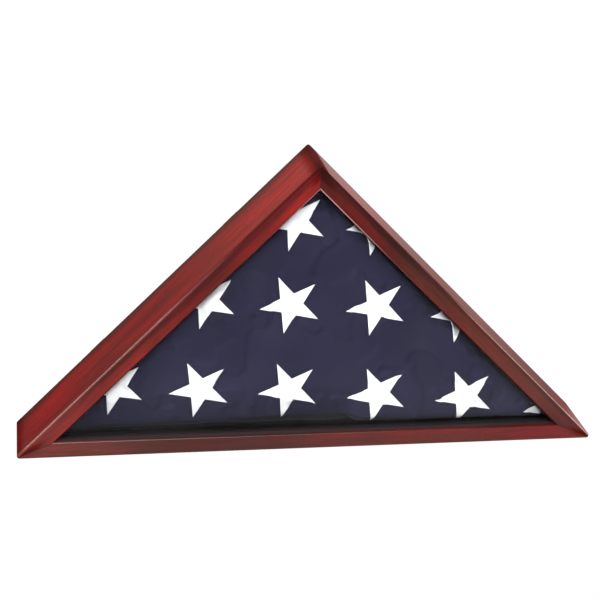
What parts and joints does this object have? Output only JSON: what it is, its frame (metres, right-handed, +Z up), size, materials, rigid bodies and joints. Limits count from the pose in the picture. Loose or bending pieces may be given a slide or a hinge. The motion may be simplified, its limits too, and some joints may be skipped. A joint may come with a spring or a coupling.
{
  "type": "folded flag display case",
  "caption": "Triangular glass-fronted wooden case standing on its long side, with a folded flag inside and a lift-off back held by turn buttons.",
  "frame": {"origin": "on the surface the case stands on, under the middle of the bounding box", "axes": "+X across the width, +Y to the back, +Z up; the glass faces -Y"},
  "size_m": [0.6516, 0.0938, 0.3287],
  "materials": {
    "mahogany": "high-gloss reddish mahogany lacquer",
    "glass": "clear float glass",
    "beech": "bare beech",
    "panel_board": "stained hardboard, matte",
    "felt": "black felt",
    "brass": "brass-plated, satin",
    "screw_steel": "zinc-plated",
    "flag_cloth": "navy cotton bunting with white embroidered stars"
  },
  "bodies": {
    "case": {"left_side_board": "mahogany", "right_side_board": "mahogany", "base_board": "mahogany", "glass_pane": "glass", "mitre_spline_apex": "beech", "mitre_spline_left": "beech", "mitre_spline_right": "beech", "folded_flag": "flag_cloth", "button_screw_left_lower": "screw_steel", "button_screw_left_upper": "screw_steel", "button_screw_right_upper": "screw_steel", "button_screw_right_lower": "screw_steel", "button_screw_base_right": "screw_steel", "button_screw_base_left": "screw_steel"},
    "back_panel": {"back_panel": "panel_board", "back_panel_lining": "felt"},
    "turn_button_left_lower": {"turn_button_left_lower": "brass"},
    "turn_button_left_upper": {"turn_button_left_upper": "brass"},
    "turn_button_right_upper": {"turn_button_right_upper": "brass"},
    "turn_button_right_lower": {"turn_button_right_lower": "brass"},
    "turn_button_base_right": {"turn_button_base_right": "brass"},
    "turn_button_base_left": {"turn_button_base_left": "brass"}
  },
  "joints": [
    {"name": "back_panel_lift_off", "type": "slide", "parent": "case", "child": "back_panel", "axis": [0, 1, 0], "range_m": [0, 0.25]},
    {"name": "turn_button_left_lower_turn", "type": "hinge", "parent": "case", "child": "turn_button_left_lower", "pos_m": [-0.23736, 0.0442, 0.08556], "axis": [0, 1, 0], "continuous": true},
    {"name": "turn_button_left_upper_turn", "type": "hinge", "parent": "case", "child": "turn_button_left_upper", "pos_m": [-0.08886, 0.0442, 0.23406], "axis": [0, 1, 0], "continuous": true},
    {"name": "turn_button_right_upper_turn", "type": "hinge", "parent": "case", "child": "turn_button_right_upper", "pos_m": [0.08886, 0.0442, 0.23406], "axis": [0, -1, 0], "continuous": true},
    {"name": "turn_button_right_lower_turn", "type": "hinge", "parent": "case", "child": "turn_button_right_lower", "pos_m": [0.23736, 0.0442, 0.08556], "axis": [0, -1, 0], "continuous": true},
    {"name": "turn_button_base_right_turn", "type": "hinge", "parent": "case", "child": "turn_button_base_right", "pos_m": [0.165, 0.0442, 0.005], "axis": [0, 1, 0], "range_deg": [0, 180]},
    {"name": "turn_button_base_left_turn", "type": "hinge", "parent": "case", "child": "turn_button_base_left", "pos_m": [-0.165, 0.0442, 0.005], "axis": [0, -1, 0], "range_deg": [0, 180]}
  ]
}
